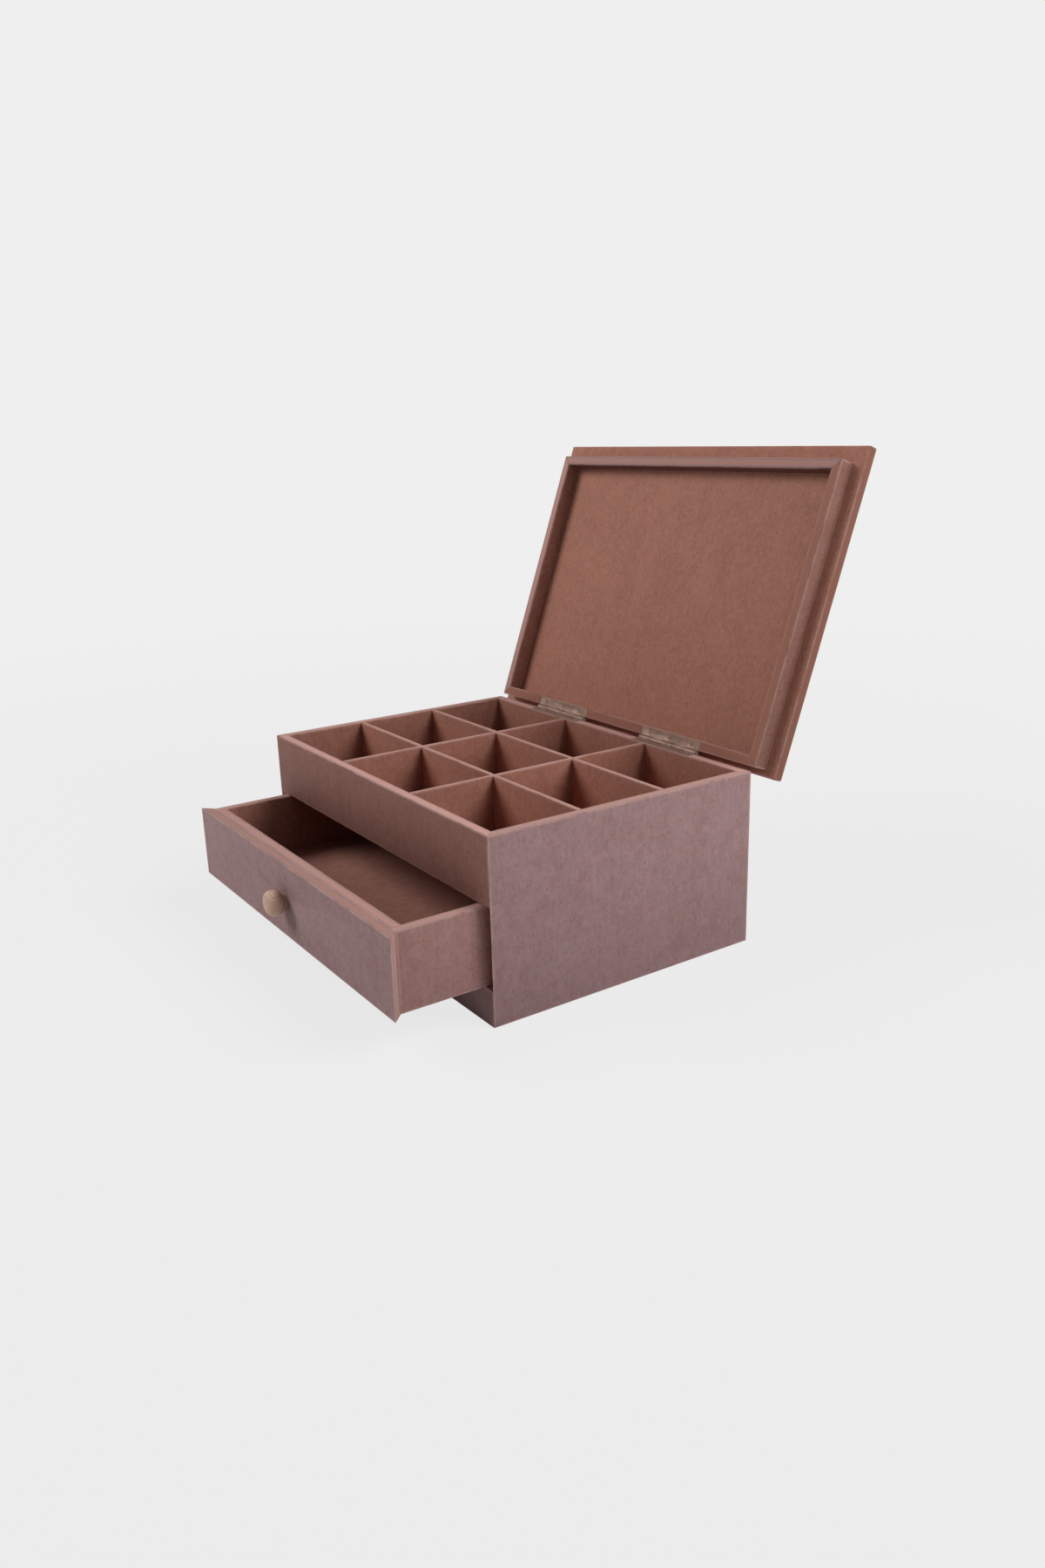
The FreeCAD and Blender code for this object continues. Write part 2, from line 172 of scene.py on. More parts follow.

# How each board looks: painted sheen on its outer and inner face (0 warm brown, 1 the grey brown that stands in
# for the pale floor's sheen), tone of its outer and inner face, where a tone below 1 is painted shade on faces
# that stand in shade along with some plain difference between boards, and how pale and how light its sawn edges
# are.
# A board that isn't named has the plain look below.
BOARD_LOOK = {
    # inner tones below 1 on the case sides and dividers are painted shade in the compartments
    "case_side_left": (0.8, 0.0, 1.0, 0.7, 1.0, 1.0),
    "case_side_right": (0.95, 0.0, 0.92, 0.9, 1.0, 1.05),
    "case_back_panel": (0.6, 0.0, 1.0, 0.85, 1.0, 1.2),
    # the upper front panel's dark outer tone is painted shade above the open drawer
    "case_front_upper_panel": (0.25, 0.0, 0.7, 0.9, 1.0, 1.2),
    "case_base_front_rail": (1.0, 0.2, 0.8, 0.9, 1.0, 0.9),
    "drawer_front_board": (1.0, 0.6, 1.08, 0.9, 1.0, 0.8),
    "drawer_inner_front": (0.3, 0.2, 1.0, 0.9, 1.0, 0.97),
    "drawer_side_right": (0.6, 0.1, 0.88, 0.8, 1.0, 1.0),
    "drawer_side_left": (0.6, 0.0, 1.0, 0.8, 1.0, 1.0),
    "divider_cross_left": (0.0, 0.0, 0.82, 0.82, 1.0, 0.97),
    "divider_cross_right": (0.0, 0.0, 0.82, 0.82, 1.0, 0.97),
    "divider_long_front": (0.0, 0.0, 1.0, 1.0, 1.0, 0.97),
    "divider_long_rear": (0.0, 0.0, 0.97, 0.97, 1.0, 0.97),
    "lid_plate": (0.5, 0.0, 1.0, 1.1, 0.0, 0.62),
    # painted shade on the lid: the front rail's underside, the left rail's inner face and the right rail's outer
    # face are darkened for the open lid
    "lid_rail_front": (0.3, 0.0, 0.95, 0.32, 1.0, 1.08),
    "lid_rail_left": (0.3, 0.0, 0.95, 0.75, 1.0, 1.25),
    "lid_rail_right": (0.2, 0.0, 0.7, 0.8, 0.1, 0.95),
    "lid_rail_rear": (0.1, 0.1, 0.85, 0.85, 0.1, 0.88),
}
PLAIN_LOOK = (0.15, 0.15, 1.0, 1.0, 1.0, 1.0)

SCREW_SETS = {"hinge_screws_case": "case", "hinge_screws_lid": "lid"}


# Small helpers for node trees

NODES_IN_A_ROW = 12
NODE_STEP = (220, 240)


class Value:
    """A socket that carries numbers and takes part in Python sums."""

    def __init__(self, tree, socket):
        self.tree = tree
        self.socket = socket

    def math(self, operation, *others, swap=False):
        inputs = [self, *others]
        if swap:
            inputs.reverse()
        return self.tree.node("ShaderNodeMath", {"operation": operation}, inputs)

    def __add__(self, other):
        return self.math("ADD", other)

    def __radd__(self, other):
        return self.math("ADD", other)

    def __sub__(self, other):
        return self.math("SUBTRACT", other)

    def __rsub__(self, other):
        return self.math("SUBTRACT", other, swap=True)

    def __mul__(self, other):
        return self.math("MULTIPLY", other)

    def __rmul__(self, other):
        return self.math("MULTIPLY", other)

    def __truediv__(self, other):
        return self.math("DIVIDE", other)

    def __pow__(self, other):
        return self.math("POWER", other)

    def least(self, other):
        return self.math("MINIMUM", other)

    def most(self, other):
        return self.math("MAXIMUM", other)

    def clamped(self):
        return self.math("MINIMUM", 1.0).math("MAXIMUM", 0.0)

    def ramp(self, low, high):
        """0 below low, 1 above high, and a soft slope between them."""
        return self.tree.node(
            "ShaderNodeMapRange",
            {"interpolation_type": "SMOOTHSTEP"},
            {"Value": self, "From Min": low, "From Max": high},
            "Result",
        )


class Tree:
    """Adds nodes to one node tree."""

    def __init__(self, group):
        self.nodes = group.nodes
        self.links = group.links
        self.nodes.clear()
        self.count = 0

    def raw(self, kind, settings=None, values=None):
        """A node of a kind, with its settings made first and then its sockets filled."""
        made = self.nodes.new(kind)
        row, column = divmod(self.count, NODES_IN_A_ROW)
        made.location = (NODE_STEP[0] * column, -NODE_STEP[1] * row)
        self.count += 1
        for key, value in (settings or {}).items():
            setattr(made, key, value)
        pairs = values or {}
        if not isinstance(pairs, dict):
            pairs = dict(enumerate(pairs))
        for key, value in pairs.items():
            socket = made.inputs[key]
            if isinstance(value, Value):
                self.links.new(value.socket, socket)
            elif isinstance(value, bpy.types.NodeSocket):
                self.links.new(value, socket)
            else:
                socket.default_value = value
        return made

    def node(self, kind, settings=None, values=None, output=0):
        """The same, as the value of one output."""
        return Value(self, self.raw(kind, settings, values).outputs[output])

    def attribute(self, name, output="Fac"):
        return self.node("ShaderNodeAttribute", {"attribute_name": name}, None, output)

    def seen(self):
        """1 for rays from the camera or mirrored or bent by a surface, 0 for light."""
        path = self.raw("ShaderNodeLightPath").outputs
        camera, mirrored, bent = (
            Value(self, path["Is %s Ray" % kind]) for kind in ("Camera", "Glossy", "Transmission")
        )
        return camera.most(mirrored).most(bent)

    def place(self):
        """Object coordinates."""
        return self.node("ShaderNodeTexCoord", None, None, "Object")

    def split(self, vector):
        parts = self.raw("ShaderNodeSeparateXYZ", None, [vector])
        return [Value(self, out) for out in parts.outputs]

    def join(self, x, y, z):
        return self.node("ShaderNodeCombineXYZ", None, [x, y, z])

    def scaled(self, vector, scale):
        return self.node(
            "ShaderNodeVectorMath", {"operation": "MULTIPLY"}, [vector, scale]
        )

    def moved(self, vector, offset):
        return self.node("ShaderNodeVectorMath", {"operation": "ADD"}, [vector, offset])

    def noise(self, vector, scale, detail=3.0, roughness=0.55, distortion=0.0):
        """Cloudy noise from 0 to 1, where scale counts its grains in a metre."""
        return self.node(
            "ShaderNodeTexNoise",
            None,
            {
                "Vector": vector,
                "Scale": scale,
                "Detail": detail,
                "Roughness": roughness,
                "Distortion": distortion,
            },
            "Fac",
        )

    def cells(self, vector, scale):
        """Distance to the nearest of many scattered points."""
        return self.node(
            "ShaderNodeTexVoronoi", {"feature": "F1"}, {"Vector": vector, "Scale": scale}, "Distance"
        )

    def blend(self, factor, a, b):
        """Colour a where factor is 0 and colour b where it is 1."""
        # for colours, a Mix node's factor is input 0, its colours are 6 and 7, and its
        # result is output 2
        made = self.raw("ShaderNodeMix", {"data_type": "RGBA"})
        for index, value in ((0, factor), (6, a), (7, b)):
            if isinstance(value, Value):
                self.links.new(value.socket, made.inputs[index])
            else:
                made.inputs[index].default_value = value
        return Value(self, made.outputs[2])

    def marked(self, base, *marks):
        """The base colour under marks: pattern, where it starts and is full, strength, colour."""
        for pattern, start, full, strength, tint in marks:
            base = self.blend(pattern.ramp(start, full) * strength, base, tint)
        return base

    def toned(self, base, tone):
        """A colour made darker or lighter by a number."""
        return self.scaled(base, self.join(tone, tone, tone))

    def finish(self, base, roughness, height, deepest, **others):
        """The surface, with a bump as deep as deepest where height is 1."""
        bump = self.node(
            "ShaderNodeBump",
            None,
            {"Strength": 1.0, "Distance": deepest, "Height": height},
            "Normal",
        )
        values = {"Base Color": base, "Roughness": roughness, "Normal": bump, **others}
        shader = self.raw("ShaderNodeBsdfPrincipled", None, values)
        self.raw("ShaderNodeOutputMaterial", None, {"Surface": shader.outputs["BSDF"]})


def new_material(name):
    """A material with an empty tree, and that tree."""
    material = bpy.data.materials.new(name)
    material.use_nodes = True
    return material, Tree(material.node_tree)


# Sizes and colours that a user would change

def colour(label, note, value):
    return bpy.props.FloatVectorProperty(
        name=label, description=note, subtype="COLOR", size=3, min=0.0, max=1.0, default=value
    )


def share(label, note, value):
    return bpy.props.FloatProperty(name=label, description=note, min=0.0, max=1.0, default=value)


def length(label, note, value):
    return bpy.props.FloatProperty(
        name=label, description=note, unit="LENGTH", min=0.0, precision=5, default=value
    )


class BoardFinish(bpy.types.PropertyGroup):
    """Raw fibreboard."""

    face_warm: colour("Warm face", "Pressed face of the boards inside", (0.46, 0.205, 0.145))
    # The dusty grey brown is painted sheen: it stands in for the pale floor mirrored in the outer faces.
    face_sheen: colour("Dusty face", "Pressed face of handled boards", (0.368, 0.247, 0.262))
    face_dark: colour("Dark fibre", "Darker fibres and blotches", (0.22, 0.085, 0.06))
    sawn: colour("Sawn edge", "Pale core of the sawn edges", (0.54, 0.31, 0.27))
    arris: colour("Rubbed arris", "Colour of rubbed arrises and corners", (0.62, 0.40, 0.36))
    arris_width: length("Arris", "Width of the eased arrises", 0.00035)
    wear: share("Wear", "How pale the arrises are rubbed", 0.55)


class KnobFinish(bpy.types.PropertyGroup):
    """Turned pale wood."""

    light: colour("Pale wood", "Early wood of the knob", (0.77, 0.53, 0.40))
    dark: colour("Dark wood", "Late wood of the knob", (0.54, 0.33, 0.24))
    # dark brown towards the foot: handling dirt and painted shade on the back of the head
    grime_and_shade: colour("Grime", "Handling dirt towards the foot", (0.24, 0.12, 0.095))
    segments: bpy.props.IntProperty(
        name="Segments", description="Facets round the knob", min=24, max=192, default=96
    )


class MetalFinish(bpy.types.PropertyGroup):
    """Hinge and screw metal."""

    brass: colour("Brass plating", "Dulled brass plating", (0.265, 0.172, 0.135))
    tarnish: colour("Tarnish", "Brown film in the low places", (0.15, 0.092, 0.072))
    steel: colour("Steel", "Pins and the knob's screw", (0.36, 0.325, 0.295))
    recess_depth: length("Recess depth", "Depth of the cross in a screw head", 0.00045)


class StageSettings(bpy.types.PropertyGroup):
    """Floor, lights and camera."""

    floor: colour("Floor", "Colour of the floor", (0.80, 0.80, 0.80))
    backdrop: colour("Backdrop", "What the camera sees behind", (0.863, 0.863, 0.863))
    sky: share("Sky light", "Strength of the light from all round", 0.045)
    sky_tint: colour("Sky tint", "Colour of the light from all round", (1.0, 0.98, 0.97))
    lamp_tint: colour("Lamp tint", "Colour of the key and front lamps", (1.0, 0.975, 0.955))
    key: bpy.props.FloatProperty(
        name="Key lamp", description="Power of the lamp above the rear", unit="POWER", default=39.0
    )
    fill: bpy.props.FloatProperty(
        name="Front lamp", description="Power of the lamp at the front", unit="POWER", default=27.0
    )
    side_tint: colour("Side tint", "Colour of the low lamp at the right", (0.92, 0.96, 1.0))
    side: bpy.props.FloatProperty(
        name="Side lamp", description="Power of the low lamp at the right", unit="POWER", default=6.0
    )


# Materials

def rgba(value, factor=1.0):
    """A colour setting as a socket takes it, made darker or lighter by factor."""
    return (value[0] * factor, value[1] * factor, value[2] * factor, 1.0)


def board_material(finish):
    """Raw fibreboard: pressed faces, sawn edges with a paler core and rubbed arrises.

    Each board carries its own coordinates, measured from its low corner with the
    thickness first, so one material serves them all.
    """
    material, t = new_material("raw_fibreboard")
    place = t.attribute("board_place", "Vector")
    size = t.attribute("board_size", "Vector")
    seed = t.attribute("board_seed")
    sheen = t.attribute("board_dusty")
    # the board's tone holds painted shade on faces that stand in shade, besides some plain difference between
    # boards
    tone = t.attribute("board_tone")
    pale = t.attribute("board_pale")
    edge_tone = t.attribute("board_edge_tone")
    px, py, pz = t.split(place)
    sx, sy, sz = t.split(size)
    dx = px.least(sx - px)
    dy = py.least(sy - py)
    dz = pz.least(sz - pz)
    # the distance to the nearest arris is the middle one of the three
    low = dx.least(dy).least(dz)
    high = dx.most(dy).most(dz)
    arris_gap = dx + dy + dz - low - high
    sawn = dx.ramp(SKIN_FROM, SKIN_TO)

    spot = t.moved(place, t.join(*(seed * step for step in PATTERN_STEPS)))
    blotch = t.noise(spot, 30.0, 3.0, 0.55)
    band = t.noise(t.scaled(spot, (1.0, 0.08, 1.0)), 75.0, 2.0, 0.5)
    patch = t.noise(spot, 115.0, 2.0, 0.55)
    cloud = t.noise(spot, 240.0, 3.0, 0.6)
    mottle = t.noise(spot, 430.0, 2.5, 0.6)
    fibre_a = t.noise(t.scaled(spot, (1.0, 0.2, 1.0)), 760.0, 3.0, 0.65, 0.5)
    fibre_b = t.noise(t.scaled(spot, (1.0, 1.0, 0.3)), 1500.0, 3.0, 0.7, 0.6)
    fibre = fibre_a * 0.6 + fibre_b * 0.4
    grit = t.noise(spot, 2600.0, 2.0, 0.6)
    fleck = 1.0 - t.cells(spot, 300.0).ramp(0.08, 0.36)
    fleck = fleck * t.noise(spot, 150.0, 1.0).ramp(0.42, 0.6)
    scratch = t.noise(t.scaled(spot, (1.0, 0.02, 1.0)), 700.0, 2.0, 0.6)
    rub = t.noise(spot, 55.0, 4.0, 0.65)

    dark = rgba(finish.face_dark)
    pale_fibre = rgba(finish.arris)
    face = t.marked(
        # faces go from warm brown towards the grey brown of the painted sheen
        t.blend(sheen, rgba(finish.face_warm), rgba(finish.face_sheen)),
        (blotch, 0.4, 0.7, 0.10, dark),
        (band, 0.5, 0.72, 0.09, dark),
        (patch, 0.44, 0.62, 0.12, dark),
        (cloud, 0.42, 0.7, 0.26, rgba(finish.sawn)),
        (mottle, 0.46, 0.7, 0.19, dark),
        (fibre, 0.5, 0.7, 0.30, dark),
        (1.0 - fibre, 0.5, 0.7, 0.20, pale_fibre),
        (grit, 0.55, 0.75, 0.07, dark),
    )
    face = t.blend(fleck * 0.27, face, rgba(finish.face_dark, 0.8))
    face = t.marked(face, (scratch, 0.62, 0.8, 0.10, pale_fibre))

    core = (dx / (sx * 0.5)).ramp(0.18, 0.6)
    layers = t.noise(t.scaled(spot, (9.0, 1.0, 1.0)), 420.0, 3.0, 0.65)
    # the skin of a sawn edge takes the painted sheen colour, a little darker
    edge = t.blend(core, rgba(finish.face_sheen, 0.95), rgba(finish.sawn))
    edge = t.marked(
        t.blend(pale, rgba(finish.face_warm), edge),
        (layers, 0.5, 0.75, 0.35, rgba(finish.face_dark, 1.3)),
        (fibre, 0.5, 0.7, 0.22, rgba(finish.face_dark, 1.2)),
    )

    # the face tone darkens faces that stand in shade: painted shade
    body = t.blend(sawn, t.toned(face, tone), t.toned(edge, edge_tone))
    near = 1.0 - (arris_gap + (rub - 0.5) * RUB_WANDER).ramp(RUB_FROM, RUB_TO)
    body = t.blend(near * rub.ramp(0.3, 0.6) * finish.wear, body, pale_fibre)

    roughness = 0.7 + sawn * 0.2 + (fibre - 0.5) * 0.12 + near * 0.08
    height = fibre * 0.5 + cloud * 0.3 + sawn * (layers + fibre) * 0.9 - fleck * 0.25
    t.finish(body, roughness.clamped(), height, 0.1 * MM, **{"Specular IOR Level": 0.2})
    return material


def knob_material(finish, centre):
    """Small turned knob: rings of growth seen from the end, and long pores at the side."""
    material, t = new_material("turned_pale_wood")
    here = t.moved(t.place(), (-centre.x, -centre.y, -centre.z))
    x, y, z = t.split(here)
    wobble = t.noise(here, 140.0, 2.0) * KNOB_RING_WANDER
    across = z + x * KNOB_RING_LEAN + wobble
    rings = (across * KNOB_RING_RATE).math("SINE") * 0.5 + 0.5
    pores = t.noise(t.scaled(here, (1.0, 0.09, 1.0)), 2400.0, 3.0, 0.7)
    cloud = t.noise(here, 180.0, 3.0)
    body = t.marked(
        rgba(finish.light),
        (rings, 0.2, 0.95, 0.45, rgba(finish.dark)),
        (pores, 0.55, 0.72, 0.5, rgba(finish.dark, 0.7)),
        (cloud, 0.4, 0.75, 0.25, rgba(finish.dark)),
        # darker towards the foot: dirt, and painted shade on the back of the head
        (y, KNOB_GRIME_AND_SHADE_FROM, KNOB_GRIME_AND_SHADE_TO, 0.55, rgba(finish.grime_and_shade)),
    )
    lathe = (y * KNOB_LATHE_RATE).math("SINE") * 0.5 + 0.5
    roughness = 0.46 + pores * 0.2 + cloud * 0.08
    height = pores * 0.5 + lathe * 0.25 + rings * 0.2
    t.finish(body, roughness.clamped(), height, 0.05 * MM, **{"Specular IOR Level": 0.4})
    return material


def metal_material(name, clean, film, grain=(1.0, 0.06, 1.0)):
    """Thin plated metal with fine rolling marks and a brown film."""
    material, t = new_material(name)
    here = t.place()
    marks = t.noise(t.scaled(here, grain), 2600.0, 2.0, 0.6)
    cloud = t.noise(here, 150.0, 4.0, 0.65)
    specks = t.noise(here, 1700.0, 2.0, 0.7)
    dirt = (cloud.ramp(0.3, 0.75) * 0.55 + specks.ramp(0.5, 0.8) * 0.35).clamped()
    body = t.blend(dirt, rgba(clean), rgba(film))
    roughness = 0.5 + dirt * 0.2 + marks * 0.12
    metallic = 0.9 - dirt * 0.4
    height = marks * 0.5 + dirt * 0.3
    t.finish(body, roughness.clamped(), height, 0.01 * MM, Metallic=metallic.clamped())
    return material


# Meshes

def linked(data):
    """A new object that holds a mesh, a light or a camera, in the scene."""
    obj = bpy.data.objects.new(data.name, data)
    bpy.context.scene.collection.objects.link(obj)
    return obj


def merged_copy(node):
    """A copy of a frame node with its loose triangles joined into flat faces."""
    mesh = frame["nodes"][node].data.copy()
    mesh.materials.clear()
    bm = bmesh.new()
    bm.from_mesh(mesh)
    bmesh.ops.remove_doubles(bm, verts=bm.verts, dist=WELD_GAP)
    bmesh.ops.dissolve_limit(
        bm,
        angle_limit=math.radians(FLAT_ANGLE),
        verts=bm.verts,
        edges=bm.edges,
        use_dissolve_boundaries=False,
    )
    for face in bm.faces:
        face.smooth = True
    bm.to_mesh(mesh)
    bm.free()
    for name in [a.name for a in mesh.attributes if a.name.startswith("custom_normal")]:
        mesh.attributes.remove(mesh.attributes[name])
    return mesh


def eased(mesh, name, width, segments=2):
    """The mesh with every sharp arris eased, as a new object."""
    raw = linked(mesh)
    bevel = raw.modifiers.new("Arris", "BEVEL")
    bevel.width = width
    bevel.segments = segments
    bevel.limit_method = "ANGLE"
    bevel.angle_limit = math.radians(ARRIS_ANGLE)
    bevel.harden_normals = False
    bevel.use_clamp_overlap = True
    graph = bpy.context.evaluated_depsgraph_get()
    made = bpy.data.meshes.new_from_object(raw.evaluated_get(graph))
    bpy.data.objects.remove(raw)
    made.name = name
    return linked(made)


def shade(obj, angle):
    """Smooth shading, with sharp edges where faces meet at more than angle."""
    mesh = obj.data
    for polygon in mesh.polygons:
        polygon.use_smooth = True
    mesh.set_sharp_from_angle(angle=math.radians(angle))


def shut(point):
    """Where a point of the open lid lies when the lid is shut."""
    turn = Matrix.Rotation(LID_TURN, 3, "X")
    return LID_PIVOT + turn @ (point - LID_PIVOT)


def opened(point):
    """Where a point of the shut lid lies when the lid stands open."""
    turn = Matrix.Rotation(-LID_TURN, 3, "X")
    return LID_PIVOT + turn @ (point - LID_PIVOT)


def add_board_data(obj, thin, on_lid, seed, look):
    """Writes the board's own coordinates, size, seed and look to its mesh."""
    mesh = obj.data
    points = [shut(v.co) if on_lid else v.co.copy() for v in mesh.vertices]
    low = Vector([min(p[i] for p in points) for i in range(3)])
    high = Vector([max(p[i] for p in points) for i in range(3)])
    order = [thin] + [i for i in (0, 1, 2) if i != thin]
    if (high - low)[order[1]] > (high - low)[order[2]]:
        order = [order[0], order[2], order[1]]
    place = mesh.attributes.new("board_place", "FLOAT_VECTOR", "POINT")
    size = mesh.attributes.new("board_size", "FLOAT_VECTOR", "POINT")
    for i, p in enumerate(points):
        place.data[i].vector = [p[k] - low[k] for k in order]
        size.data[i].vector = [high[k] - low[k] for k in order]
    # the look's sheen shares are painted sheen, and its tones hold painted shade
    sheen_out, sheen_in, tone_and_shade_out, tone_and_shade_in, pale, edge_tone = look
    middle = (low[thin] + high[thin]) / 2.0
    outward = middle - BOX_MIDDLE[thin]
    outside = [(p[thin] - middle) * outward > 0.0 for p in points]
    for name, values in (
        ("board_seed", [seed] * len(points)),
        ("board_dusty", [sheen_out if out else sheen_in for out in outside]),
        ("board_tone", [tone_and_shade_out if out else tone_and_shade_in for out in outside]),
        ("board_pale", [pale] * len(points)),
        ("board_edge_tone", [edge_tone] * len(points)),
    ):
        mesh.attributes.new(name, "FLOAT", "POINT").data.foreach_set("value", values)


def arc(start, middle, end, steps):
    """Points of the circle's arc from start through middle to end, all (radius, height)."""
    (ax, ay), (bx, by), (cx, cy) = start, middle, end
    d = 2.0 * (ax * (by - cy) + bx * (cy - ay) + cx * (ay - by))
    a2, b2, c2 = ax * ax + ay * ay, bx * bx + by * by, cx * cx + cy * cy
    ux = (a2 * (by - cy) + b2 * (cy - ay) + c2 * (ay - by)) / d
    uy = (a2 * (cx - bx) + b2 * (ax - cx) + c2 * (bx - ax)) / d
    radius = math.hypot(ax - ux, ay - uy)
    first = math.atan2(ay - uy, ax - ux)
    sweep = math.atan2(cy - uy, cx - ux) - first
    sweep = (sweep + math.pi) % math.tau - math.pi
    turns = [first + sweep * k / steps for k in range(steps + 1)]
    return [(ux + radius * math.cos(a), uy + radius * math.sin(a)) for a in turns]


def quarter(start, end, steps, round_first, fullness=2.0):
    """Quarter of an ellipse between two (radius, height) points.

    It leaves start along the height if round_first, and along the radius if not. A
    fullness over 2 makes its corner fuller than an ellipse's.
    """
    points = []
    for k in range(steps + 1):
        a = math.pi / 2.0 * k / steps
        go = math.sin(a) ** (2.0 / fullness)
        rest = 1.0 - max(math.cos(a), 0.0) ** (2.0 / fullness)
        across, along = (rest, go) if round_first else (go, rest)
        points.append(
            (start[0] + (end[0] - start[0]) * across, start[1] + (end[1] - start[1]) * along)
        )
    return points


def turned_mesh(name, rings, angles, turn):
    """A closed skin over rings of points round an axis.

    Each ring is (radius, height), where a radius may be a function of the angle; the
    skin closes on the axis at both ends. turn places the result.
    """
    bm = bmesh.new()
    loops = []
    for radius, height in rings:
        loop = []
        for a in angles:
            r = radius(a) if callable(radius) else radius
            loop.append(bm.verts.new(turn @ Vector((r * math.cos(a), r * math.sin(a), height))))
        loops.append(loop)
    count = len(angles)
    for lower, upper in zip(loops, loops[1:]):
        for k in range(count):
            n = (k + 1) % count
            bm.faces.new((lower[k], lower[n], upper[n], upper[k]))
    for loop, height in ((loops[0], rings[0][1]), (loops[-1], rings[-1][1])):
        centre = bm.verts.new(turn @ Vector((0.0, 0.0, height)))
        for k in range(count):
            bm.faces.new((loop[k], loop[(k + 1) % count], centre))
    bmesh.ops.recalc_face_normals(bm, faces=bm.faces)
    mesh = bpy.data.meshes.new(name)
    bm.to_mesh(mesh)
    bm.free()
    return mesh


def even_angles(count):
    return [math.tau * k / count for k in range(count)]


def cross_angles():
    """Directions that meet every corner of a cross recess."""
    corner = math.atan2(CROSS_HALF_WIDTH, CROSS_ARM)
    first = [0.0, corner, math.pi / 6.0, math.pi / 4.0, math.pi / 3.0, math.pi / 2.0 - corner]
    return [a + q * math.pi / 2.0 for q in range(4) for a in first]


def cross_reach(scale):
    """How far the edge of a cross recess lies from its middle, by direction."""
    half, arm = CROSS_HALF_WIDTH * scale, CROSS_ARM * scale

    def reach(angle):
        long, short = sorted((abs(math.cos(angle)), abs(math.sin(angle))), reverse=True)
        return arm / long if short * arm <= long * half else half / short

    return reach


def recessed(head, scale, depth):
    """Rings that close a screw's head with a cross recess; head is its top ring's height."""
    return [(cross_reach(scale * wide), head - depth * deep) for wide, deep in CROSS_RINGS]


def put(obj, body, slot, *nodes):
    """Hands a finished piece to its body in place of the plain nodes."""
    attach(obj, body)
    if nodes:
        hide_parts(*nodes)
    return obj


def slot_of(node):
    """The material slot that the record gives a node."""
    return next(s["material_slot"] for s in frame["record"]["subparts"] if s["node"] == node)


def knob_rings(head_radius, length):
    """The knob's outline as rings from its foot to its tip."""
    head_start = length - KNOB_HEAD_THICKNESS
    widest = head_start + KNOB_HEAD_THICKNESS * KNOB_WIDEST_SHARE
    foot_edge = (KNOB_FOOT_RADIUS, KNOB_FOOT_THICKNESS)
    waist = (KNOB_WAIST_RADIUS, (KNOB_FOOT_THICKNESS + head_start) / 2.0)
    throat = (KNOB_THROAT_RADIUS, head_start)
    shoulder = (head_radius, widest)
    rings = [(KNOB_FOOT_RADIUS * KNOB_FOOT_EASE, 0.0)]
    rings += [(KNOB_FOOT_RADIUS, KNOB_FOOT_THICKNESS * share) for share in KNOB_FOOT_RIM]
    rings += arc(foot_edge, waist, throat, KNOB_WAIST_STEPS)
    rings += quarter(throat, shoulder, KNOB_BACK_STEPS, False, KNOB_BACK_FULLNESS)[1:]
    rings += quarter(shoulder, (0.0, length), KNOB_FACE_STEPS, True, KNOB_FACE_FULLNESS)[1:-1]
    return rings


def knob_mesh(low, high, segments):
    """The knob, turned to fill the box between two corners, with its foot on the drawer."""
    centre = (low + high) / 2.0
    foot = Vector((centre.x, high.y, centre.z))
    turn = Matrix.Translation(foot) @ Matrix.Rotation(math.pi / 2.0, 4, "X")
    rings = knob_rings((high.x - low.x) / 2.0, high.y - low.y)
    return turned_mesh("drawer_knob_turned", rings, even_angles(segments), turn)


def knob_screw_mesh(recess):
    """The knob's screw: a plain shank in the wood and a round head in the drawer."""
    low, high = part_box("drawer_knob_screw")
    centre = (low + high) / 2.0
    tip = Vector((centre.x, low.y, centre.z))
    turn = Matrix.Translation(tip) @ Matrix.Rotation(-math.pi / 2.0, 4, "X")
    length = high.y - low.y
    head = length - KNOB_SCREW_HEAD_HEIGHT
    brim = (KNOB_SCREW_HEAD_RADIUS, head + KNOB_SCREW_BRIM)
    flat = (KNOB_SCREW_FLAT_RADIUS, length)
    rings = [
        (KNOB_SCREW_TIP_RADIUS, 0.0),
        (KNOB_SCREW_RADIUS, KNOB_SCREW_RADIUS),
        (KNOB_SCREW_RADIUS, head),
        (KNOB_SCREW_HEAD_RADIUS * KNOB_SCREW_SEAT_EASE, head + KNOB_SCREW_SEAT),
    ]
    rings += quarter(brim, flat, KNOB_SCREW_DOME_STEPS, True)
    rings += recessed(length, KNOB_CROSS_SCALE, recess * KNOB_CROSS_DEPTH_SCALE)
    return turned_mesh("drawer_knob_screw_zinc", rings, cross_angles(), turn)


def hinge_screw_mesh(recess):
    """A countersunk screw with a cross recess, its face at height 0."""
    rings = [(SCREW_SHANK_RADIUS * wide, -SCREW_LENGTH * down) for wide, down in SCREW_TIP]
    rings += [
        (SCREW_SHANK_RADIUS, SCREW_SHANK_RADIUS - SCREW_HEAD_RADIUS),
        (SCREW_HEAD_RADIUS - SCREW_EASE, -SCREW_EASE),
        (SCREW_HEAD_RADIUS - SCREW_RIM_EASE, 0.0),
    ]
    rings += recessed(0.0, 1.0, recess)
    return turned_mesh("hinge_screw", rings, cross_angles(), Matrix())


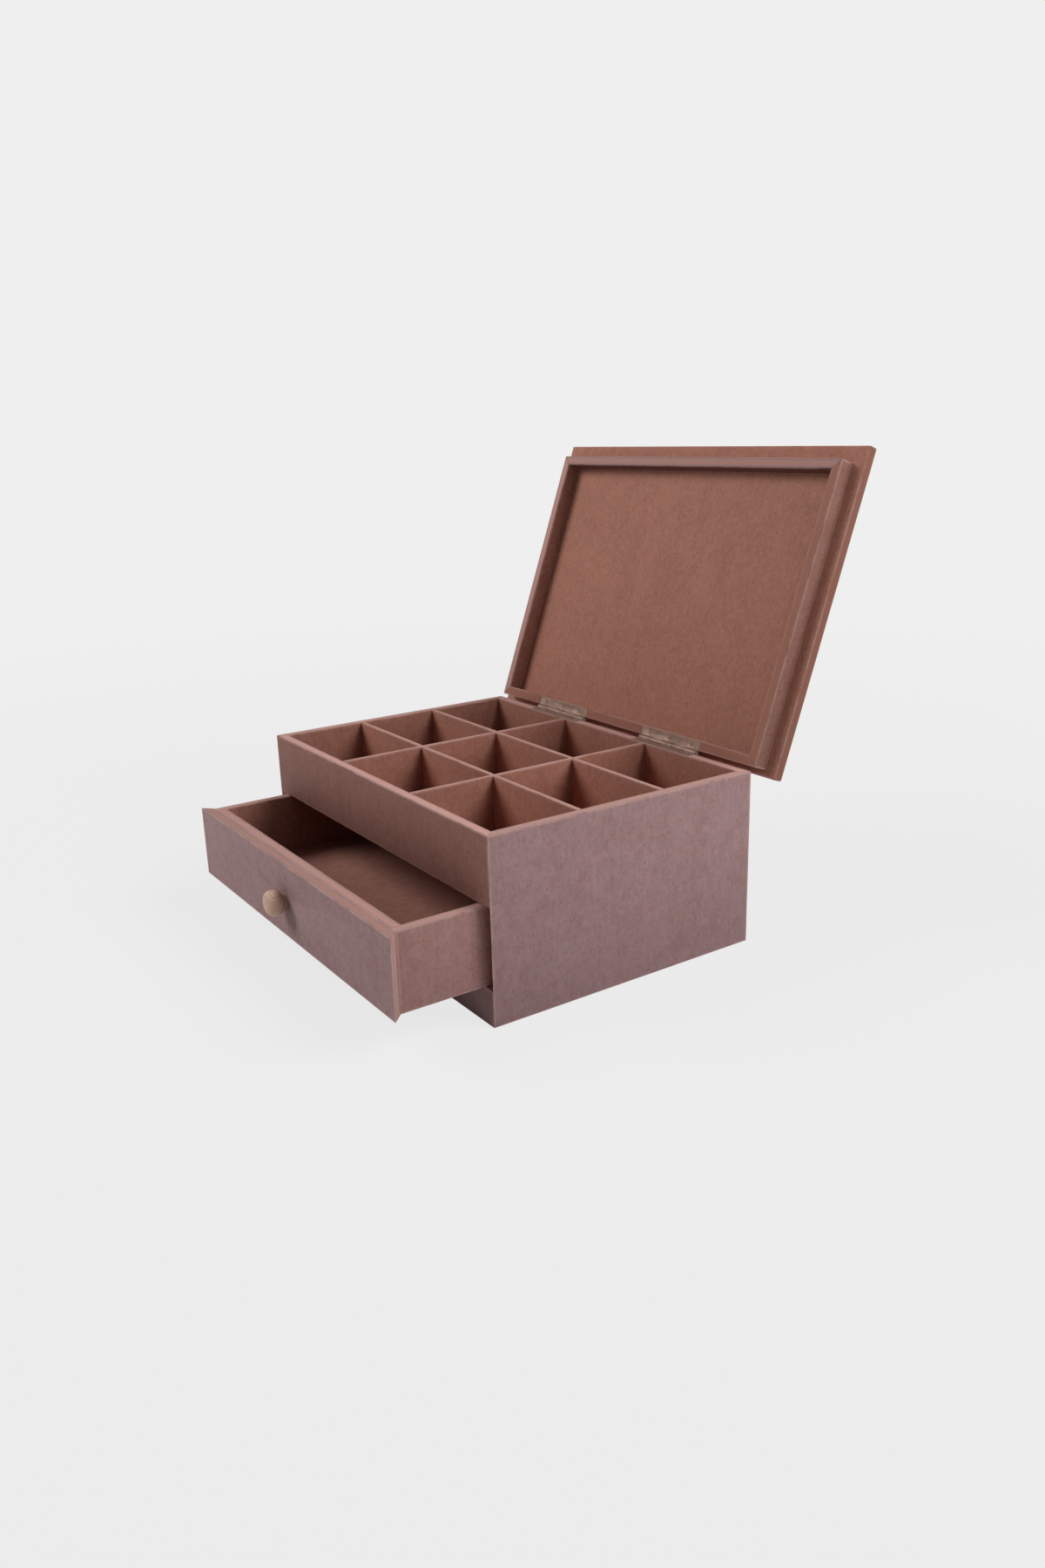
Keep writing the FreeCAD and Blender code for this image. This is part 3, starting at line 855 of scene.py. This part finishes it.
def screws_tree():
    """Sets a screw on every point of a mesh, each driven to an angle of its own."""
    group = bpy.data.node_groups.new("screws_on_points", "GeometryNodeTree")
    for name, kind in (
        ("Points", "NodeSocketGeometry"),
        ("Screw", "NodeSocketObject"),
        ("Lean", "NodeSocketVector"),
        ("Seed", "NodeSocketInt"),
        ("Metal", "NodeSocketMaterial"),
    ):
        group.interface.new_socket(name, in_out="INPUT", socket_type=kind)
    group.interface.new_socket("Screws", in_out="OUTPUT", socket_type="NodeSocketGeometry")
    t = Tree(group)
    given = t.raw("NodeGroupInput").outputs
    screw = t.raw("GeometryNodeObjectInfo", None, {"Object": given["Screw"]})
    # inputs 2, 3 and 8 are the least, the most and the seed of a random number
    drive = t.node(
        "FunctionNodeRandomValue",
        {"data_type": "FLOAT"},
        {2: 0.0, 3: math.tau, 8: given["Seed"]},
        1,
    )
    spin = t.node("FunctionNodeEulerToRotation", None, [t.join(0.0, 0.0, drive)])
    lean = t.node("FunctionNodeEulerToRotation", None, [given["Lean"]])
    turned = t.node(
        "FunctionNodeRotateRotation",
        {"rotation_space": "LOCAL"},
        {"Rotation": lean, "Rotate By": spin},
    )
    placed = t.node(
        "GeometryNodeInstanceOnPoints",
        None,
        {
            "Points": given["Points"],
            "Instance": screw.outputs["Geometry"],
            "Rotation": turned,
        },
    )
    real = t.node("GeometryNodeRealizeInstances", None, [placed])
    metal = t.node(
        "GeometryNodeSetMaterial", None, {"Geometry": real, "Material": given["Metal"]}
    )
    t.raw("NodeGroupOutput", None, [metal])
    return group


def screw_points(node, on_lid):
    """Middle of each screw's face, from the loose pieces of a frame node."""
    bm = bmesh.new()
    bm.from_mesh(frame["nodes"][node].data)
    bmesh.ops.remove_doubles(bm, verts=bm.verts, dist=WELD_GAP)
    left = set(bm.verts)
    points = []
    while left:
        piece = set()
        front = [left.pop()]
        while front:
            vert = front.pop()
            piece.add(vert)
            for edge in vert.link_edges:
                other = edge.other_vert(vert)
                if other in left:
                    left.remove(other)
                    front.append(other)
        corners = [shut(v.co) if on_lid else v.co.copy() for v in piece]
        low = Vector([min(c[i] for c in corners) for i in range(3)])
        high = Vector([max(c[i] for c in corners) for i in range(3)])
        face = Vector(((low.x + high.x) / 2.0, (low.y + high.y) / 2.0, high.z))
        if on_lid:
            face.z = low.z
            face = opened(face)
        points.append(face)
    bm.free()
    return sorted(points, key=lambda p: p.x)


def set_screws(node, tree, screw, metal, seed, on_lid):
    """The screws of one body as one plain mesh."""
    mesh = bpy.data.meshes.new(node + "_places")
    mesh.from_pydata(screw_points(node, on_lid), [], [])
    obj = linked(mesh)
    modifier = obj.modifiers.new("Screws", "NODES")
    modifier.node_group = tree
    values = {
        "Screw": screw,
        "Lean": (math.pi - LID_TURN if on_lid else 0.0, 0.0, 0.0),
        "Seed": seed,
        "Metal": metal,
    }
    for item in tree.interface.items_tree:
        if item.item_type == "SOCKET" and item.name in values:
            modifier[item.identifier] = values[item.name]
    graph = bpy.context.evaluated_depsgraph_get()
    made = bpy.data.meshes.new_from_object(obj.evaluated_get(graph))
    bpy.data.objects.remove(obj)
    made.name = node + "_metal"
    return linked(made)


def make_boards(boards, body, on_lid=False):
    """Finishes a group of boards that ride on one body."""
    finish = bpy.context.scene.box_boards
    material = bpy.data.materials.get("raw_fibreboard") or board_material(finish)
    for index, (node, thin) in enumerate(boards.items()):
        obj = eased(merged_copy(node), node + "_wood", finish.arris_width)
        seed = index + SEED_STEP * len(node)
        add_board_data(obj, thin, on_lid, seed, BOARD_LOOK.get(node, PLAIN_LOOK))
        obj.data.materials.append(material)
        shade(obj, BOARD_CREASE)
        put(obj, body, slot_of(node), node)


# One operator for each group of pieces

class BOX_OT_case(bpy.types.Operator):
    """Finish the boards of the case"""

    bl_idname = "makeup_box.case"
    bl_label = "Case boards"

    def execute(self, context):
        make_boards(CASE_BOARDS, "case")
        return {"FINISHED"}


class BOX_OT_dividers(bpy.types.Operator):
    """Finish the half-lapped dividers"""

    bl_idname = "makeup_box.dividers"
    bl_label = "Dividers"

    def execute(self, context):
        make_boards(DIVIDER_BOARDS, "case")
        return {"FINISHED"}


class BOX_OT_lid(bpy.types.Operator):
    """Finish the lid's plate and its frame"""

    bl_idname = "makeup_box.lid"
    bl_label = "Lid boards"

    def execute(self, context):
        make_boards(LID_BOARDS, "lid", on_lid=True)
        return {"FINISHED"}


class BOX_OT_drawer(bpy.types.Operator):
    """Finish the boards of the drawer"""

    bl_idname = "makeup_box.drawer"
    bl_label = "Drawer boards"

    def execute(self, context):
        make_boards(DRAWER_BOARDS, "drawer")
        return {"FINISHED"}


class BOX_OT_knob(bpy.types.Operator):
    """Turn the knob and finish its screw"""

    bl_idname = "makeup_box.knob"
    bl_label = "Knob"

    def execute(self, context):
        finish = context.scene.box_knob
        low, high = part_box("drawer_knob")
        knob = linked(knob_mesh(low, high, finish.segments))
        knob.data.materials.append(knob_material(finish, (low + high) / 2.0))
        shade(knob, SMALL_CREASE)
        put(knob, "drawer", "knob_wood", "drawer_knob")
        metal = context.scene.box_metal
        screw = linked(knob_screw_mesh(metal.recess_depth))
        screw.data.materials.append(metal_material("dull_zinc", metal.steel, metal.tarnish))
        shade(screw, SMALL_CREASE)
        put(screw, "drawer", "knob_screw_steel", "drawer_knob_screw")
        return {"FINISHED"}


class BOX_OT_hinges(bpy.types.Operator):
    """Finish the hinge leaves and pins"""

    bl_idname = "makeup_box.hinges"
    bl_label = "Hinges"

    def execute(self, context):
        metal = context.scene.box_metal
        brass = metal_material("dull_brass", metal.brass, metal.tarnish, (0.06, 1.0, 1.0))
        steel = metal_material("pin_steel", metal.steel, metal.tarnish, (0.06, 1.0, 1.0))
        for side in ("left", "right"):
            for node, body, material in (
                ("hinge_case_leaf_" + side, "case", brass),
                ("hinge_lid_leaf_" + side, "lid", brass),
                ("hinge_pin_" + side, "case", steel),
            ):
                obj = eased(merged_copy(node), node + "_metal", LEAF_ARRIS, 1)
                obj.data.materials.append(material)
                shade(obj, SMALL_CREASE)
                put(obj, body, slot_of(node), node)
        return {"FINISHED"}


class BOX_OT_screws(bpy.types.Operator):
    """Set the hinge screws with their cross recesses"""

    bl_idname = "makeup_box.screws"
    bl_label = "Hinge screws"

    def execute(self, context):
        finish = context.scene.box_metal
        metal = metal_material("screw_brass", finish.brass, finish.tarnish)
        screw = linked(hinge_screw_mesh(finish.recess_depth))
        tree = screws_tree()
        for seed, (node, body) in enumerate(SCREW_SETS.items()):
            obj = set_screws(node, tree, screw, metal, seed + 1, body == "lid")
            shade(obj, SMALL_CREASE)
            put(obj, body, slot_of(node), node)
        bpy.data.objects.remove(screw)
        return {"FINISHED"}


class BOX_OT_stage(bpy.types.Operator):
    """Lay the floor and set the lights and the camera"""

    bl_idname = "makeup_box.stage"
    bl_label = "Stage"

    def execute(self, context):
        stage = context.scene.box_stage
        context.scene.view_settings.view_transform = "Standard"
        lay_floor(stage)
        light_world(stage)
        add_lamp("key_lamp", KEY_PLACE, stage.key, stage.lamp_tint)
        add_lamp("front_lamp", FRONT_PLACE, stage.fill, stage.lamp_tint)
        add_lamp("side_lamp", SIDE_PLACE, stage.side, stage.side_tint)
        set_camera()
        return {"FINISHED"}


# The stage

FLOOR_HALF = 4.0
# Where the lamps hang, how wide they are and what they are turned to
KEY_PLACE = (1.35, 1.05, 1.75)
FRONT_PLACE = (-1.2, -1.3, 1.6)
SIDE_PLACE = (2.2, 0.3, 0.5)
LAMP_SIZE = 1.3
LAMP_AIM = (0.0, 0.09, 0.08)
# How much of the backdrop lies over the floor's shadow near the box, and how far from
# the box the floor starts to fade into the backdrop and is gone
BACKDROP_NEAR_BOX = 0.9
FLOOR_FADE_FROM = 0.35
FLOOR_FADE_TO = 1.3
# The camera: its place, its turns in degrees and its lens in the picture's own pixels
CAMERA_PLACE = (0.5730, -0.2794, 0.2866)
CAMERA_YAW = 56.648
CAMERA_PITCH = 16.999
CAMERA_ROLL = -1.779
FOCAL_PIXELS = 1359.23
IMAGE_SIZE = (1200, 1800)
OPTICAL_CENTRE = (588.99, 903.39)
SENSOR = 36.0
CLIP_NEAR = 0.01
CLIP_FAR = 50.0


def lay_floor(stage):
    """A pale floor that catches the shadow and looks like the backdrop elsewhere."""
    mesh = bpy.data.meshes.new("floor")
    h = FLOOR_HALF
    mesh.from_pydata([(-h, -h, 0), (h, -h, 0), (h, h, 0), (-h, h, 0)], [], [(0, 1, 2, 3)])
    floor = linked(mesh)
    material, t = new_material("pale_floor")
    matt = t.raw(
        "ShaderNodeBsdfDiffuse", None, {"Color": rgba(stage.floor), "Roughness": 0.5}
    )
    glow = t.raw("ShaderNodeEmission", None, {"Color": rgba(stage.backdrop), "Strength": 1.0})
    x, y, _ = t.split(t.place())
    reach = (x * x + y * y) ** 0.5
    # the shadow stays near the box, and far off the floor meets the backdrop
    far = reach.ramp(FLOOR_FADE_FROM, FLOOR_FADE_TO)
    plain = BACKDROP_NEAR_BOX + (1.0 - BACKDROP_NEAR_BOX) * far
    mix = t.raw(
        "ShaderNodeMixShader",
        None,
        [t.seen() * plain, matt.outputs[0], glow.outputs[0]],
    )
    t.raw("ShaderNodeOutputMaterial", None, {"Surface": mix.outputs[0]})
    mesh.materials.append(material)


def light_world(stage):
    """Weak light from all round, behind a plain backdrop."""
    world = bpy.data.worlds.new("soft_room")
    bpy.context.scene.world = world
    world.use_nodes = True
    t = Tree(world.node_tree)
    room = t.raw(
        "ShaderNodeBackground", None, {"Color": rgba(stage.sky_tint), "Strength": stage.sky}
    )
    backdrop = t.raw("ShaderNodeBackground", None, {"Color": rgba(stage.backdrop)})
    mix = t.raw(
        "ShaderNodeMixShader", None, [t.seen(), room.outputs[0], backdrop.outputs[0]]
    )
    t.raw("ShaderNodeOutputWorld", None, {"Surface": mix.outputs[0]})


def add_lamp(name, place, power, tint):
    """A round soft lamp that is turned to the box."""
    data = bpy.data.lights.new(name, "AREA")
    data.shape = "DISK"
    data.size = LAMP_SIZE
    data.energy = power
    data.color = tint
    lamp = linked(data)
    lamp.location = place
    aim = Vector(LAMP_AIM) - Vector(place)
    lamp.rotation_euler = aim.to_track_quat("-Z", "Y").to_euler()


def set_camera():
    """The camera of the reference picture, with its lens and its off-centre axis."""
    yaw, pitch, roll = (math.radians(a) for a in (CAMERA_YAW, CAMERA_PITCH, CAMERA_ROLL))
    ahead = Vector(
        (-math.sin(yaw) * math.cos(pitch), math.cos(yaw) * math.cos(pitch), -math.sin(pitch))
    )
    level = Vector((math.cos(yaw), math.sin(yaw), 0.0))
    up = level.cross(ahead)
    right = math.cos(roll) * level + math.sin(roll) * up
    top = -math.sin(roll) * level + math.cos(roll) * up
    turn = Matrix((right, top, -ahead)).transposed()
    data = bpy.data.cameras.new("camera")
    data.sensor_width = SENSOR
    data.lens = FOCAL_PIXELS / max(IMAGE_SIZE) * SENSOR
    data.shift_x = (IMAGE_SIZE[0] / 2.0 - OPTICAL_CENTRE[0]) / max(IMAGE_SIZE)
    data.shift_y = (OPTICAL_CENTRE[1] - IMAGE_SIZE[1] / 2.0) / max(IMAGE_SIZE)
    data.clip_start = CLIP_NEAR
    data.clip_end = CLIP_FAR
    camera = linked(data)
    camera.matrix_world = Matrix.Translation(CAMERA_PLACE) @ turn.to_4x4()
    bpy.context.scene.camera = camera


# The add-on

class BOX_PT_panel(bpy.types.Panel):
    """Buttons and finishes in the sidebar."""

    bl_idname = "BOX_PT_panel"
    bl_label = "Makeup box"
    bl_space_type = "VIEW_3D"
    bl_region_type = "UI"
    bl_category = "Makeup box"

    def draw(self, context):
        for operator in OPERATORS:
            self.layout.operator(operator.bl_idname)
        for name in SETTINGS:
            group = getattr(context.scene, name)
            box = self.layout.box()
            for key in group.bl_rna.properties.keys():
                if key not in ("rna_type", "name"):
                    box.prop(group, key)


OPERATORS = (
    BOX_OT_case,
    BOX_OT_dividers,
    BOX_OT_lid,
    BOX_OT_drawer,
    BOX_OT_knob,
    BOX_OT_hinges,
    BOX_OT_screws,
    BOX_OT_stage,
)

SETTINGS = {
    "box_boards": BoardFinish,
    "box_knob": KnobFinish,
    "box_metal": MetalFinish,
    "box_stage": StageSettings,
}


def register():
    for group in SETTINGS.values():
        bpy.utils.register_class(group)
    for operator in OPERATORS:
        bpy.utils.register_class(operator)
    bpy.utils.register_class(BOX_PT_panel)
    for name, group in SETTINGS.items():
        setattr(bpy.types.Scene, name, bpy.props.PointerProperty(type=group))


def unregister():
    for name in SETTINGS:
        delattr(bpy.types.Scene, name)
    bpy.utils.unregister_class(BOX_PT_panel)
    for operator in reversed(OPERATORS):
        bpy.utils.unregister_class(operator)
    for group in SETTINGS.values():
        bpy.utils.unregister_class(group)


def main():
    """Makes every piece and the stage."""
    register()
    bpy.ops.makeup_box.case()
    bpy.ops.makeup_box.dividers()
    bpy.ops.makeup_box.lid()
    bpy.ops.makeup_box.drawer()
    bpy.ops.makeup_box.knob()
    bpy.ops.makeup_box.hinges()
    bpy.ops.makeup_box.screws()
    bpy.ops.makeup_box.stage()


if __name__ == "__main__":
    main()
